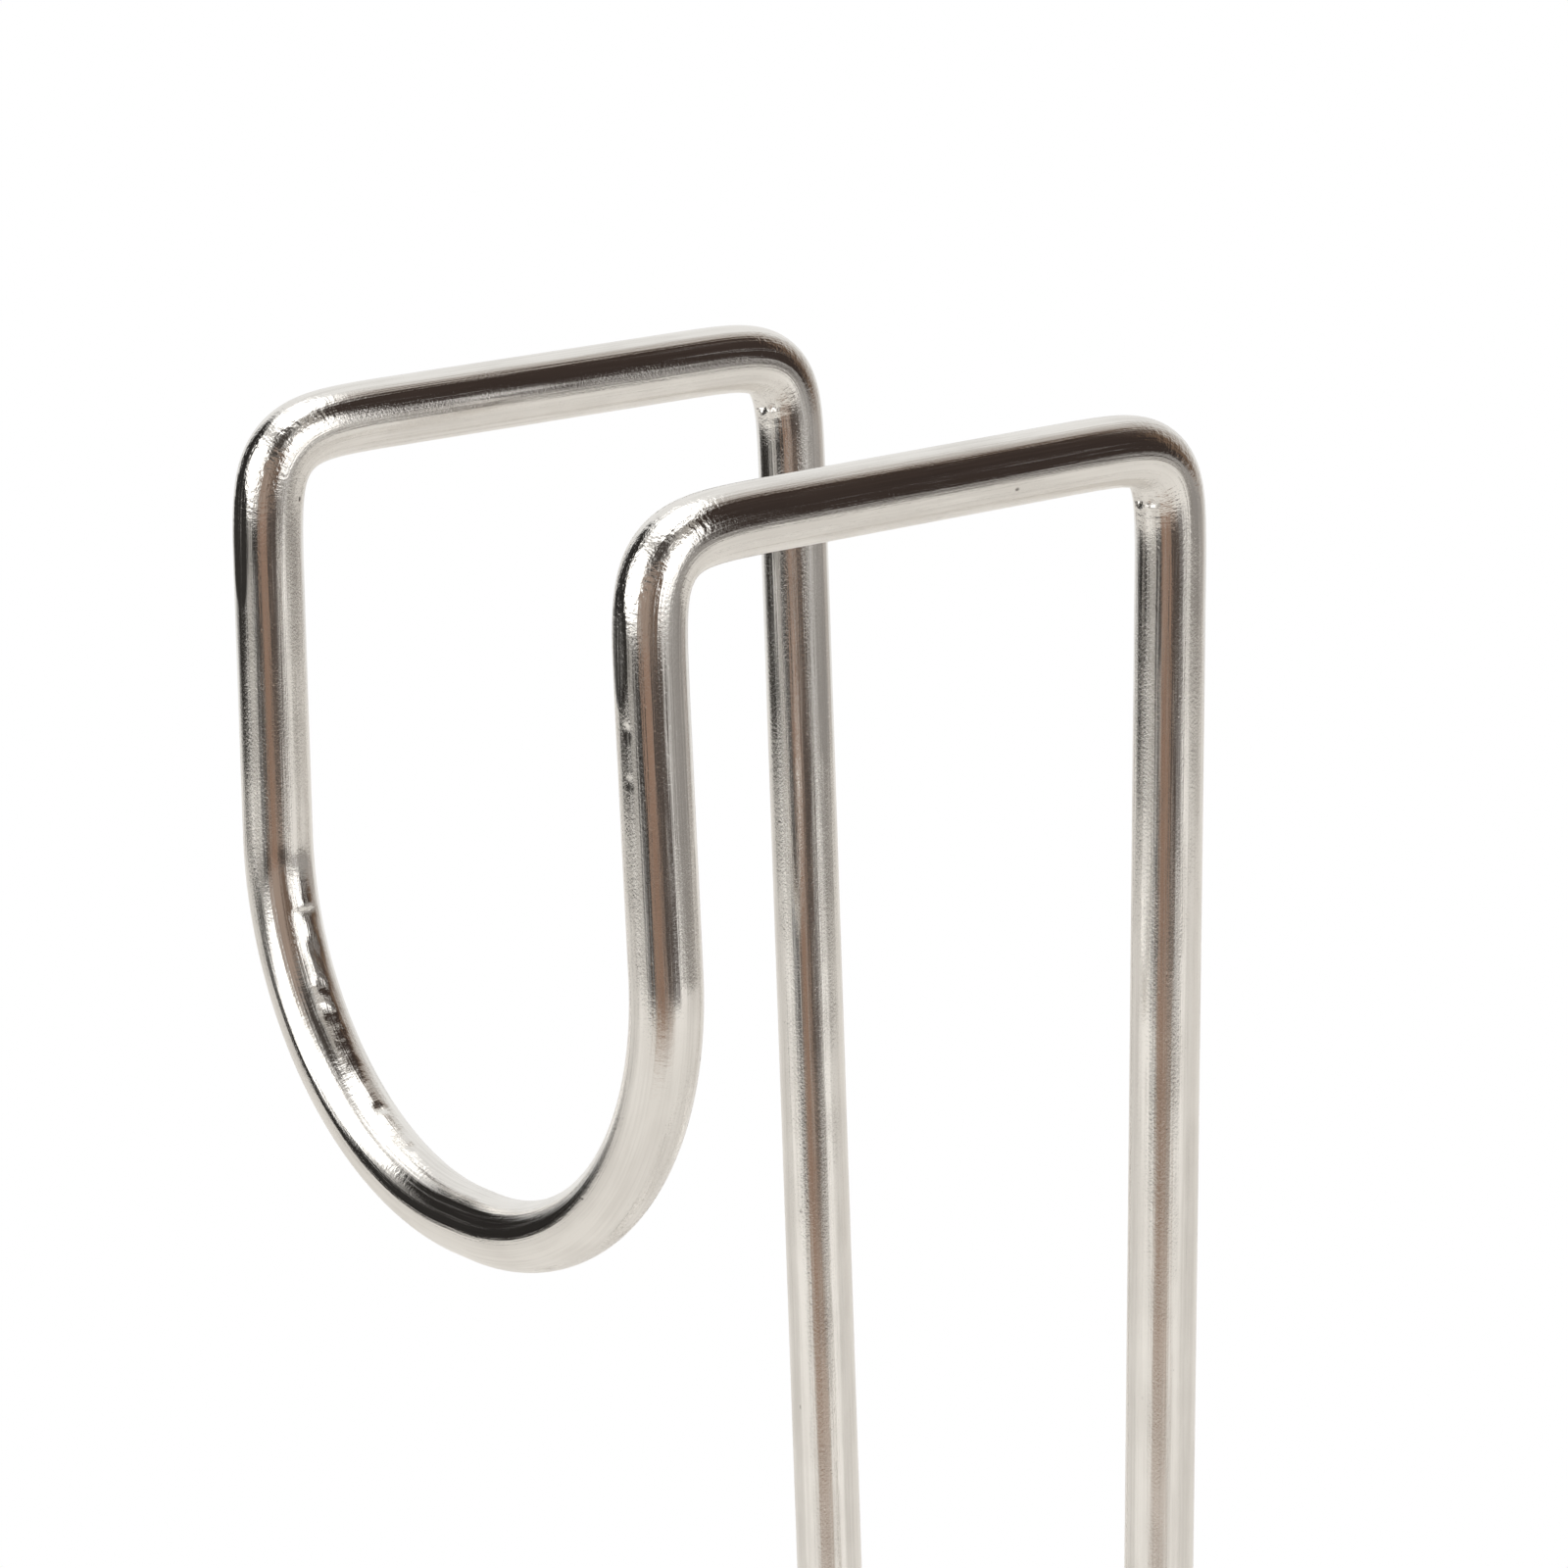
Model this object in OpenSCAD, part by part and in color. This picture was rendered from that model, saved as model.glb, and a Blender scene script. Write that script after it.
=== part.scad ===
// Over-edge plastic bag holder: a bent wire hanger that hooks over the edge of a panel,
// a ring for the mouth of the bag, and a hinged ring that clamps the film onto it.
// Sizes in millimetres. The origin is on the panel's top edge, midway between the two top bars.

/* [Wire] */
// Diameter of the wire of the hanger and of the bag ring
wire_d = 5; // [4:0.1:6]
// Diameter of the wire of the clamp ring
clamp_wire_d = 4; // [3:0.1:5]
// Diameter of the wire of the leg tie
tie_wire_d = 4; // [3:0.1:5]
// Diameter of the wire of the lift tab
tab_wire_d = 3; // [2:0.1:3.5]

/* [Panel hook] */
// Clear gap between the hanging loop and the legs, where the panel goes
panel_gap = 40.7; // [25:0.1:60]
// Width of the hanging loop at its top, between wire centres
loop_w = 45.9; // [36:0.1:60]
// Distance between the legs at their top, between wire centres
legs_w = 44.3; // [40:0.1:60]
// Drop of the hanging loop below the top bars, between wire centres
loop_drop = 53.1; // [40:0.1:75]
// Straight length left at the bottom of the loop between its two round corners
loop_flat = 1.8; // [0.5:0.1:10]
// Bend radius at the front of the top bars, at the wire centre
front_bend_r = 5.3; // [4:0.1:8]
// Bend radius at the rear of the top bars, at the wire centre
rear_bend_r = 4.8; // [4:0.1:8]
// Outward spread of each arm of the loop, in degrees
arm_splay = 1.46; // [0.2:0.01:4]
// Lean of the arms of the loop towards the legs, in degrees
arm_lean = 0.65; // [0.1:0.01:3]
// Inward lean of each leg, in degrees
leg_toe_in = 1.43; // [0.2:0.01:2]

/* [Legs] */
// Length of the legs below the bag ring
leg_tail = 62; // [45:1:100]
// Height of the leg tie above the ends of the legs
tie_rise = 28; // [20:1:35]
// Length of the leg tie beyond the legs at each end
tie_overhang = 6; // [4:0.5:12]
// Wall of the leg caps
cap_wall = 1.2; // [0.8:0.1:2]
// Length of wire inside each leg cap
cap_depth = 12; // [8:0.5:16]

/* [Bag ring] */
// Drop of the bag ring below the top bars, between wire centres
ring_drop = 190; // [160:1:260]
// Width of the bag ring, between wire centres
ring_w = 230; // [150:1:320]
// Depth of the bag ring, between wire centres
ring_depth = 160; // [120:1:180]
// Radius of the rear corners of the bag ring, at the wire centre
ring_rear_r = 5; // [4:0.1:12]
// Radius of the front corners of the bag ring, at the wire centre
ring_front_r = 45; // [15:1:60]

/* [Clamp ring] */
// Gap between the clamp ring and the bag ring, which leaves room for the film
film_gap = 0.3; // [0.2:0.05:1]
// Side play of the hinge eyes before they meet the rear corners of the bag ring
eye_play = 2; // [0.5:0.1:6]
// Turn of wire in each hinge eye, in degrees
eye_turn = 270; // [225:1:275]
// Straight wire between each hinge eye and its outward jog
jog_lead = 10; // [6:0.5:20]
// Length of the jog that brings the clamp ring out over the bag ring
jog_len = 16; // [12:0.5:30]
// Bend radius of the jog, at the wire centre
jog_r = 8; // [4:0.5:12]

/* [Lift tab] */
// Width of the lift tab, between wire centres
tab_w = 24; // [18:0.5:28]
// Reach of the lift tab in front of the clamp ring, between wire centres
tab_reach = 18; // [12:0.5:30]
// Corner radius of the lift tab, at the wire centre
tab_r = 7; // [4:0.5:8]

/* [Welds] */
// Gap between crossed wires that the weld metal fills
weld_gap = 0.2; // [0.1:0.05:0.4]
// Reach of the weld metal beyond the thinner of two joined wires
weld_reach = 0.8; // [0.4:0.1:1.5]
// Height of the bead that closes the bag ring
butt_bead_h = 0.4; // [0.2:0.05:0.8]
// Width of the bead that closes the bag ring
butt_bead_w = 2.6; // [1.5:0.1:5]

/* [Hidden] */

$fn = 64;

bright_steel = [0.78, 0.77, 0.75];
weld_steel = [0.62, 0.60, 0.58];
soft_vinyl = [0.16, 0.16, 0.17];

left = -1;
right = 1;
down = [0, 0, -1];
// Bends draw the wire thinner by this much, and each run reaches this far into the bend beside it
bend_thinning = 0.02;
bend_lap = 0.1;
cap_fit = 0.02;

// Levels and planes of the hanger
bar_z = wire_d / 2;
hook_depth = panel_gap + wire_d;
loop_y = -hook_depth / 2;
legs_y = hook_depth / 2;

// Hanging loop: its arms spread and lean, and round corners of equal radius make its bottom
loop_bottom_half_w = loop_w / 2 + loop_drop * tan(arm_splay);
loop_bottom_y = loop_y + loop_drop * tan(arm_lean);
loop_bottom_z = bar_z - loop_drop;
arm_top = [loop_w / 2, loop_y, bar_z];
arm_bottom = [loop_bottom_half_w, loop_bottom_y, loop_bottom_z];
loop_turn = turn(arm_bottom - [0, loop_bottom_y, loop_bottom_z], arm_top - arm_bottom);
loop_r = (loop_bottom_half_w - loop_flat / 2) / tan(loop_turn / 2);

// Legs
ring_z = bar_z - ring_drop;
leg_end_z = ring_z - leg_tail;
tie_z = leg_end_z + tie_rise;

// Bag ring, which stands in front of the legs
ring_y = legs_y + wire_d + weld_gap;
ring_front_y = ring_y + ring_depth;
tie_y = legs_y + wire_d / 2 + weld_gap + tie_wire_d / 2;

// Clamp ring, whose eyes turn on the rear bar of the bag ring
eye_r = wire_d / 2 + film_gap + clamp_wire_d / 2;
clamp_z = ring_z + eye_r;
eye_x = ring_w / 2 - ring_rear_r - eye_play - clamp_wire_d / 2;

tab_front_y = ring_front_y + tab_reach;

hanger_route = [
    [0, loop_bottom_y, loop_bottom_z],
    arm_bottom,
    arm_top,
    [legs_w / 2, legs_y, bar_z],
    [leg_x(leg_end_z), legs_y, leg_end_z]
];
hanger_bends = [loop_r, front_bend_r, rear_bend_r];

ring_route = [
    [0, ring_y, ring_z],
    [ring_w / 2, ring_y, ring_z],
    [ring_w / 2, ring_front_y, ring_z],
    [0, ring_front_y, ring_z]
];
ring_bends = [ring_rear_r, ring_front_r];

clamp_route = [
    [0, ring_front_y, clamp_z],
    [ring_w / 2, ring_front_y, clamp_z],
    [ring_w / 2, ring_y + jog_lead + jog_len, clamp_z],
    [eye_x, ring_y + jog_lead, clamp_z],
    [eye_x, ring_y, clamp_z]
];
clamp_bends = [ring_front_r, jog_r, jog_r];

tab_route = [
    [0, tab_front_y, clamp_z],
    [tab_w / 2, tab_front_y, clamp_z],
    [tab_w / 2, ring_front_y, clamp_z]
];
tab_bends = [tab_r];

// Distance of a leg's centre from the middle plane, at a height
function leg_x(z) = legs_w / 2 - (bar_z - z) * tan(leg_toe_in);

function unit(v) = v / norm(v);

// Angle that a wire turns through from one direction to another
function turn(a, b) = acos(unit(a) * unit(b));

// Length that the bend at a point of a route takes from each run beside it
function setback(route, bends, i) =
    i == 0 || i == len(route) - 1
        ? 0
        : bends[i - 1] * tan(turn(route[i] - route[i - 1], route[i + 1] - route[i]) / 2);

// Round bend that starts along +Z and turns towards +X
module bend(r, angle, d) {
    translate([r, 0, 0])
        rotate([90, 0, 180])
            rotate_extrude(angle = angle)
                translate([r, 0])
                    circle(d = d - bend_thinning);
}

// Runs and bends of a wire from point i of its route onwards, along +Z with its side along +X.
// A curl, as [turn, radius], ends the wire in an eye that turns downwards.
module runs_from(i, route, bends, d, side, curl) {
    along = unit(route[i + 1] - route[i]);
    feed = norm(route[i + 1] - route[i]) - setback(route, bends, i) - setback(route, bends, i + 1);
    last = i + 2 == len(route);
    next = last ? down : unit(route[i + 2] - route[i + 1]);
    towards = unit(next - (next * along) * along);
    roll = atan2(cross(along, side) * towards, side * towards);
    lap_before = i > 0 ? bend_lap : 0;
    lap_after = !last || curl ? bend_lap : 0;

    translate([0, 0, -lap_before])
        cylinder(h = lap_before + feed + lap_after, d = d);
    translate([0, 0, feed])
        rotate([0, 0, roll])
            if (!last) {
                angle = turn(along, next);
                next_side = towards * cos(angle) - along * sin(angle);
                r = bends[i];
                bend(r, angle, d);
                translate([r, 0, 0])
                    rotate([0, angle, 0])
                        translate([-r, 0, 0])
                            runs_from(i + 1, route, bends, d, next_side, curl);
            } else if (curl) {
                bend(curl[1], curl[0], d);
            }
}

// Wire that is the same on both sides of the middle plane. Its route starts there, heading for +X.
module bent_wire(route, bends, d, curl = undef) {
    for (half = [0, 1])
        mirror([half, 0, 0])
            translate(route[0])
                rotate([0, 90, 0])
                    runs_from(0, route, bends, d, down, curl);
}

// Straight stretch of a leg around a height, for cutting what is welded to it
module leg_stretch(side, z, h, d) {
    translate([side * leg_x(z), legs_y, z])
        rotate([0, side * leg_toe_in, 0])
            cylinder(h = h, d = d, center = true);
}

module cross_bar(y, z, length, d) {
    translate([0, y, z])
        rotate([0, 90, 0])
            cylinder(h = length, d = d, center = true);
}

// Weld metal in the corner between a leg and a wire that crosses in front of it
module leg_weld(side, y, z, d) {
    reach = d / 2 + weld_reach;
    difference() {
        translate([side * leg_x(z), legs_y + (wire_d + weld_gap) / 2, z])
            rotate([90, 0, 0])
                sphere(r = reach);
        leg_stretch(side, z, 4 * reach, wire_d);
        cross_bar(y, z, ring_w, d);
    }
}

module hanger_wire() {
    color(bright_steel)
        bent_wire(hanger_route, hanger_bends, wire_d);
}

module bag_ring() {
    color(bright_steel)
        bent_wire(ring_route, ring_bends, wire_d);
}

// Raised bead around the joint where the two ends of the bag ring meet
module ring_butt_weld() {
    bead_r = (pow(butt_bead_w / 2, 2) + pow(butt_bead_h, 2)) / (2 * butt_bead_h);
    color(weld_steel)
        translate([0, ring_y, ring_z])
            rotate([0, 90, 0])
                rotate_extrude()
                    difference() {
                        translate([wire_d / 2 + butt_bead_h - bead_r, 0])
                            circle(r = bead_r);
                        translate([wire_d / 2 - 2 * bead_r, -bead_r])
                            square([2 * bead_r, 2 * bead_r]);
                    }
}

module ring_weld(side) {
    color(weld_steel)
        leg_weld(side, ring_y, ring_z, wire_d);
}

module leg_tie() {
    color(bright_steel)
        cross_bar(tie_y, tie_z, 2 * (leg_x(tie_z) + tie_overhang), tie_wire_d);
}

module tie_weld(side) {
    color(weld_steel)
        leg_weld(side, tie_y, tie_z, tie_wire_d);
}

// Soft cap with a round end, pushed onto the cut end of a leg
module leg_cap(side) {
    bore_r = wire_d / 2 + cap_fit;
    cap_r = bore_r + cap_wall;
    color(soft_vinyl)
        translate([side * leg_x(leg_end_z), legs_y, leg_end_z])
            rotate([0, side * leg_toe_in, 0])
                difference() {
                    union() {
                        cylinder(h = cap_depth, r = cap_r);
                        sphere(r = cap_r);
                    }
                    translate([0, 0, -cap_fit])
                        cylinder(h = cap_depth + cap_wall, r = bore_r);
                }
}

module clamp_ring() {
    color(bright_steel)
        bent_wire(clamp_route, clamp_bends, clamp_wire_d, [eye_turn, eye_r]);
}

module lift_tab() {
    color(bright_steel)
        difference() {
            bent_wire(tab_route, tab_bends, tab_wire_d);
            cross_bar(ring_front_y, clamp_z, 2 * tab_w, clamp_wire_d);
        }
}

// Collar of weld metal around a foot of the lift tab, where it meets the front of the clamp ring
module tab_weld(side) {
    reach = clamp_wire_d / 2 + weld_reach;
    color(weld_steel)
        difference() {
            translate([side * tab_w / 2, ring_front_y, clamp_z])
                rotate([-90, 0, 0])
                    difference() {
                        cylinder(h = reach, d = tab_wire_d + weld_reach);
                        cylinder(h = 3 * reach, d = tab_wire_d, center = true);
                    }
            cross_bar(ring_front_y, clamp_z, 2 * tab_w, clamp_wire_d);
        }
}

hanger_wire();
bag_ring();
ring_butt_weld();
ring_weld(left);  // left_ring_weld
ring_weld(right);  // right_ring_weld
leg_tie();
tie_weld(left);  // left_tie_weld
tie_weld(right);  // right_tie_weld
leg_cap(left);  // left_leg_cap
leg_cap(right);  // right_leg_cap
clamp_ring();
lift_tab();
tab_weld(left);  // left_tab_weld
tab_weld(right);  // right_tab_weld
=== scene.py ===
import math

import bmesh
import bpy
from bpy.props import FloatProperty, FloatVectorProperty, IntProperty, PointerProperty
from mathutils import Matrix, Vector, noise


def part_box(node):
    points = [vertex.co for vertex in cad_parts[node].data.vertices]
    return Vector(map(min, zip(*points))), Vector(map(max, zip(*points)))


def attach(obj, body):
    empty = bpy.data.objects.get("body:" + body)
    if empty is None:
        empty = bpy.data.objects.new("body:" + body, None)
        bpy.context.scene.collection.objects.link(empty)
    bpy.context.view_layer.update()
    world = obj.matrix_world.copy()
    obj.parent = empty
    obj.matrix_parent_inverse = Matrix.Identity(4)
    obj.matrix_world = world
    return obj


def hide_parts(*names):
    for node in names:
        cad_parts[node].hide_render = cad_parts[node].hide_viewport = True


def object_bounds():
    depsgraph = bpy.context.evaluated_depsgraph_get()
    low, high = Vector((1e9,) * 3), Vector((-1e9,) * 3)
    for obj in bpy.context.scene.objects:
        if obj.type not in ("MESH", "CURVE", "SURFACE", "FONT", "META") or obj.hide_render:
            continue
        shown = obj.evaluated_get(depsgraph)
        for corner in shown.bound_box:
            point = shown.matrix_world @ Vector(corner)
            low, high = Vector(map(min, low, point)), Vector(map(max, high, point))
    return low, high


# Over-edge plastic bag holder: a bright bent wire hanger, a ring for the mouth of the bag, and a
# hinged ring that clamps the film. Every wire is drawn as a bender makes it: feed, bend, feed.

bl_info = {
    "name": "Over-edge bag holder",
    "version": (1, 0, 0),
    "blender": (4, 5, 0),
    "location": "3D View > Sidebar > Bag holder",
    "description": "Bends the wires of an over-edge plastic bag holder and lights them in a studio",
    "category": "Object",
}

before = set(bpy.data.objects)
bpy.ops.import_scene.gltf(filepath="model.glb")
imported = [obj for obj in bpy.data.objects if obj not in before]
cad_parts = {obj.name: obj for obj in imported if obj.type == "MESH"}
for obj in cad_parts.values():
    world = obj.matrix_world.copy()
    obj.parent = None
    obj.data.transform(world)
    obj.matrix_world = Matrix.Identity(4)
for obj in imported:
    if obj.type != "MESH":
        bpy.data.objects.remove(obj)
CAD_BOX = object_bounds()

ACROSS = Vector((1, 0, 0))
DOWN = Vector((0, 0, -1))
QUARTER_TURN = math.radians(90)
MM = 0.001

# Vertex layers that every drawn wire carries
STRAIGHT = "straight"
STRETCH = "stretch"

WIRE_FINISH = "drawn bright wire"
WELD_FINISH = "bare weld metal"
CAP_FINISH = "dipped soft vinyl"

HANGER = "hanger"
CLAMP = "clamp"


def node_size(node):
    low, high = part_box(node)
    return high - low


def node_middle(node):
    low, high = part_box(node)
    return (low + high) / 2


WIRE_D = node_size("bag_ring").z
RING_W = node_size("bag_ring").x - WIRE_D
CLAMP_D = node_size("clamp_ring").x - RING_W
TIE_D = node_size("leg_tie").z
TAB_D = node_size("lift_tab").z


def length(name, description, default):
    return FloatProperty(name=name, description=description, default=default, unit="LENGTH", precision=5)


def angle(name, description, degrees):
    default = math.radians(degrees)
    return FloatProperty(name=name, description=description, default=default, subtype="ANGLE")


def amount(name, description, default):
    return FloatProperty(name=name, description=description, default=default)


def colour(name, description, default):
    return FloatVectorProperty(
        name=name, description=description, default=default, subtype="COLOR", min=0, max=1
    )


class HangerSizes(bpy.types.PropertyGroup):
    """Sizes of the hanger wire, between wire centres."""

    loop_w: length("Loop width", "Width of the hanging loop at its top", 45.9 * MM)
    legs_w: length("Leg distance", "Distance between the legs at their top", 44.3 * MM)
    loop_drop: length("Loop drop", "Drop of the hanging loop below the top bars", 53.1 * MM)
    loop_flat: length("Loop flat", "Straight length at the bottom of the loop", 1.8 * MM)
    front_bend: length("Front bend", "Bend radius at the front of the top bars", 5.3 * MM)
    rear_bend: length("Rear bend", "Bend radius at the rear of the top bars", 4.8 * MM)
    arm_splay: angle("Arm splay", "Outward spread of each arm of the loop", 1.46)
    arm_lean: angle("Arm lean", "Lean of the arms of the loop towards the legs", 0.65)
    leg_toe_in: angle("Leg toe-in", "Inward lean of each leg", 1.43)
    cap_depth: length("Cap depth", "Length of leg that goes into a cap", 12 * MM)


class RingSizes(bpy.types.PropertyGroup):
    """Sizes of the bag ring, the clamp ring and the lift tab, at the wire centre."""

    rear_corner: length("Rear corner", "Radius of the rear corners of the bag ring", 5 * MM)
    front_corner: length("Front corner", "Radius of the front corners of both rings", 45 * MM)
    eye_play: length("Eye play", "Side play of the hinge eyes at the rear corners", 2 * MM)
    eye_turn: angle("Eye turn", "Turn of wire in each hinge eye", 270)
    jog_lead: length("Jog lead", "Straight wire between a hinge eye and its jog", 10 * MM)
    jog_len: length("Jog length", "Length of the jog of the clamp ring", 16 * MM)
    jog_bend: length("Jog bend", "Bend radius of the jog", 8 * MM)
    tab_corner: length("Tab corner", "Corner radius of the lift tab", 7 * MM)


class Fineness(bpy.types.PropertyGroup):
    """How finely the wires are drawn."""

    sides: IntProperty(name="Sides", description="Sides of a wire", default=64, min=16, max=96)
    bend_step: length("Bend step", "Distance between rings in the hanger's bends and arms", 0.35 * MM)
    run_step: length("Run step", "Distance between rings elsewhere", 1.4 * MM)
    bend_taper: amount("Bend taper", "Share of a tapered bend's turn that is in its soft ends", 0.08)


class Finishes(bpy.types.PropertyGroup):
    """Colours and surface of the wire, the welds and the caps."""

    wire: colour("Wire", "Colour of the polished steel", (0.86, 0.845, 0.824))
    wire_dull: colour("Dull wire", "Colour of the steel where it is less polished", (0.77, 0.752, 0.73))
    pit: colour("Pit", "Colour of the pits in the steel", (0.10, 0.085, 0.075))
    weld: colour("Weld", "Colour of the weld metal", (0.56, 0.54, 0.52))
    heat_tint: colour("Heat tint", "Colour of the steel beside a weld", (0.50, 0.40, 0.28))
    cap: colour("Cap", "Colour of the soft vinyl caps", (0.022, 0.022, 0.024))
    floor: colour("Floor", "Colour of the studio floor", (0.80, 0.788, 0.765))


class Studio(bpy.types.PropertyGroup):
    """Camera of the studio."""

    azimuth: angle("Azimuth", "Side that the camera looks from", 53.39)
    elevation: angle("Elevation", "Height that the camera looks from", 14.63)
    roll: angle("Roll", "Turn of the picture", -1.12)
    distance: length("Distance", "Distance of the camera from the point it looks at", 496.8 * MM)
    aim_right: length("Aim right", "Sideways offset of the point it looks at", -13.58 * MM)
    aim_up: length("Aim up", "Upward offset of the point it looks at", -28.08 * MM)
    lens: amount("Lens", "Focal length on a 36 mm sensor", 158.89)


SETTINGS = {
    "hanger_sizes": HangerSizes,
    "ring_sizes": RingSizes,
    "fineness": Fineness,
    "finishes": Finishes,
    "studio": Studio,
}


# Drawing wire

# How sharply a tapered bend turns in its middle, and the parts that its length is summed over
TAPER_SHARPNESS = 3.5
TAPER_PARTS = 200

# Largest turn between two rings of a bend
BEND_TURN_STEP = math.radians(4)

# Runs shorter than this many wire radii get rings as close together as those of the bends
SHORT_RUN = 12

# Strength of the mark that a bend leaves on its stretched and pressed fibres
STRETCH_GAIN = 3

# Rounding of a cut edge, as shares of its chamfer, and the chamfer as a share of the wire's thickness
EDGE_INSET = 0.3
EDGE_STEP = 0.3
FACE_STEP = 0.25
CUT_CHAMFER = 0.08

# Distance within which two ends of a wire become one, as a share of its thickness
SEAM_MERGE = 0.01


def bend_share(u, taper):
    """Share of a bend's turn that is made after a share of its length. A taper gives it soft ends."""
    if not taper:
        return u
    v = 2 * u - 1
    sharp = math.tanh(TAPER_SHARPNESS * v) / math.tanh(TAPER_SHARPNESS)
    soft = (3 - v * v) * v / 2
    return (1 + (1 - taper) * sharp + taper * soft) / 2


def bend_extent(radius, turn, taper):
    """Length of a bend, and what it takes from each run beside it. A plain arc has the same middle."""
    if not taper:
        return radius * turn, radius * math.tan(turn / 2)
    at = Vector((0, 0))
    for i in range(TAPER_PARTS):
        heading = turn * bend_share((i + 0.5) / TAPER_PARTS, taper)
        at += Vector((math.cos(heading), math.sin(heading))) / TAPER_PARTS
        if i + 1 == TAPER_PARTS // 2:
            middle = at.copy()
    setback = at.x - at.y / math.tan(turn)
    scale = radius * (1 / math.cos(turn / 2) - 1) / (middle - Vector((setback, 0))).length
    return scale, scale * setback


class WirePen:
    """Draws one round wire into a bmesh, the way a wire bender feeds and bends it."""

    def __init__(self, wire_d, start, heading, fineness, bend_step=None):
        self.bm = bmesh.new()
        self.radius = wire_d / 2
        self.chamfer = wire_d * CUT_CHAMFER
        self.point = start.copy()
        self.heading = heading.normalized()
        self.run_step = fineness.run_step
        self.bend_step = bend_step or fineness.run_step
        self.fed = 0.0
        self.runs = []
        self.straight = self.bm.verts.layers.float_vector.new(STRAIGHT)
        self.stretch = self.bm.verts.layers.float.new(STRETCH)
        facing = self.heading.to_track_quat("Z", "X").to_matrix()
        place = Matrix.Translation(start) @ facing.to_4x4()
        made = bmesh.ops.create_circle(
            self.bm, segments=fineness.sides, radius=self.radius, matrix=place
        )
        self.ring = made["verts"]
        unturned = facing.inverted()
        for v in self.ring:
            v[self.straight] = unturned @ (v.co - start)
        self.last_edges = list(self.bm.edges)

    def next_ring(self, advance):
        """Extrudes the last ring in place, and marks the new one with the length fed so far."""
        self.fed += advance
        made = bmesh.ops.extrude_edge_only(self.bm, edges=self.last_edges)["geom"]
        self.ring = [e for e in made if isinstance(e, bmesh.types.BMVert)]
        ring = set(self.ring)
        new_edges = [e for e in made if isinstance(e, bmesh.types.BMEdge)]
        self.last_edges = [e for e in new_edges if all(v in ring for v in e.verts)]
        for v in self.ring:
            place = v[self.straight]
            v[self.straight] = Vector((place.x, place.y, self.fed))
            v[self.stretch] = 0.0
        return [e for v in self.ring for e in v.link_edges if e.other_vert(v) not in ring]

    def shift(self, move):
        """Moves the last ring."""
        bmesh.ops.translate(self.bm, verts=self.ring, vec=move)
        self.point += move

    def widen(self, factor):
        """Makes the last ring wider, or narrower by a factor below one."""
        at_point = Matrix.Translation(self.point)
        widened = at_point @ Matrix.Scale(factor, 4) @ at_point.inverted()
        bmesh.ops.transform(self.bm, verts=self.ring, matrix=widened)

    def feed(self, run):
        """Straight run along the heading. Its rings are cut when the wire is done."""
        lengthwise = self.next_ring(run)
        self.shift(self.heading * run)
        step = self.bend_step if run < self.radius * SHORT_RUN else self.run_step
        self.runs.append((lengthwise, round(run / step) - 1))

    def bend(self, towards, radius, turn, taper=0.0):
        """Bend towards a side. Its outer fibres are marked as stretched and its inner ones as pressed.

        The mark grows over one wire thickness, or over a quarter of a short bend.
        """
        axis = self.heading.cross(towards).normalized()
        bend_length = bend_extent(radius, turn, taper)[0]
        steps = max(math.ceil(turn / BEND_TURN_STEP), math.ceil(bend_length / self.bend_step))
        advance = bend_length / steps
        growth = min(self.radius * 2, bend_length / 4)
        strain_share = self.radius / (self.radius + radius)
        for i in range(steps):
            part = turn * (bend_share((i + 1) / steps, taper) - bend_share(i / steps, taper))
            self.next_ring(advance)
            move = Matrix.Rotation(part / 2, 3, axis) @ self.heading * advance
            spin = Matrix.Rotation(part, 3, axis)
            bmesh.ops.rotate(self.bm, verts=self.ring, cent=self.point, matrix=spin)
            self.shift(move)
            self.heading = spin @ self.heading
            outward = self.heading.cross(axis)
            strain = min(1.0, part / advance * radius) * strain_share * STRETCH_GAIN
            into = min(i + 1, steps - i - 1) / steps * bend_length
            strain *= min(1.0, into / growth)
            for v in self.ring:
                v[self.stretch] = min(1.0, strain) * outward.dot(v.co - self.point) / self.radius

    def along(self, route, bends):
        """Follows a route of points with the radius and taper of a bend at each inner one."""
        ahead = [(b - a).normalized() for a, b in zip(route, route[1:])]
        turns = [a.angle(b) for a, b in zip(ahead, ahead[1:])]
        taken = [bend_extent(radius, turn, taper)[1] for turn, (radius, taper) in zip(turns, bends)]
        taken = [0.0, *taken, 0.0]
        for i, direction in enumerate(ahead):
            self.heading = direction
            self.feed((route[i + 1] - route[i]).length - taken[i] - taken[i + 1])
            if i < len(turns):
                towards = (ahead[i + 1] - ahead[i + 1].dot(direction) * direction).normalized()
                self.bend(towards, bends[i][0], turns[i], bends[i][1])

    def grow_ring(self, factor, advance):
        """Next ring, wider or narrower by a factor, a little way ahead."""
        self.next_ring(advance)
        self.widen(factor)
        self.shift(self.heading * advance)

    def cut_factors(self):
        """Widths of a cut end's face and of the ring at its edge, as shares of the wire's."""
        return 1 - self.chamfer / self.radius, 1 - self.chamfer * EDGE_INSET / self.radius

    def cut_start(self):
        """Makes the first ring a cut end with its edge taken off, just before the start."""
        cut, edge = self.cut_factors()
        bmesh.ops.contextual_create(self.bm, geom=list(self.bm.edges))
        self.widen(cut)
        self.shift(-self.heading * self.chamfer * (FACE_STEP + EDGE_STEP))
        self.grow_ring(edge / cut, self.chamfer * FACE_STEP)
        self.grow_ring(1 / edge, self.chamfer * EDGE_STEP)

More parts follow.
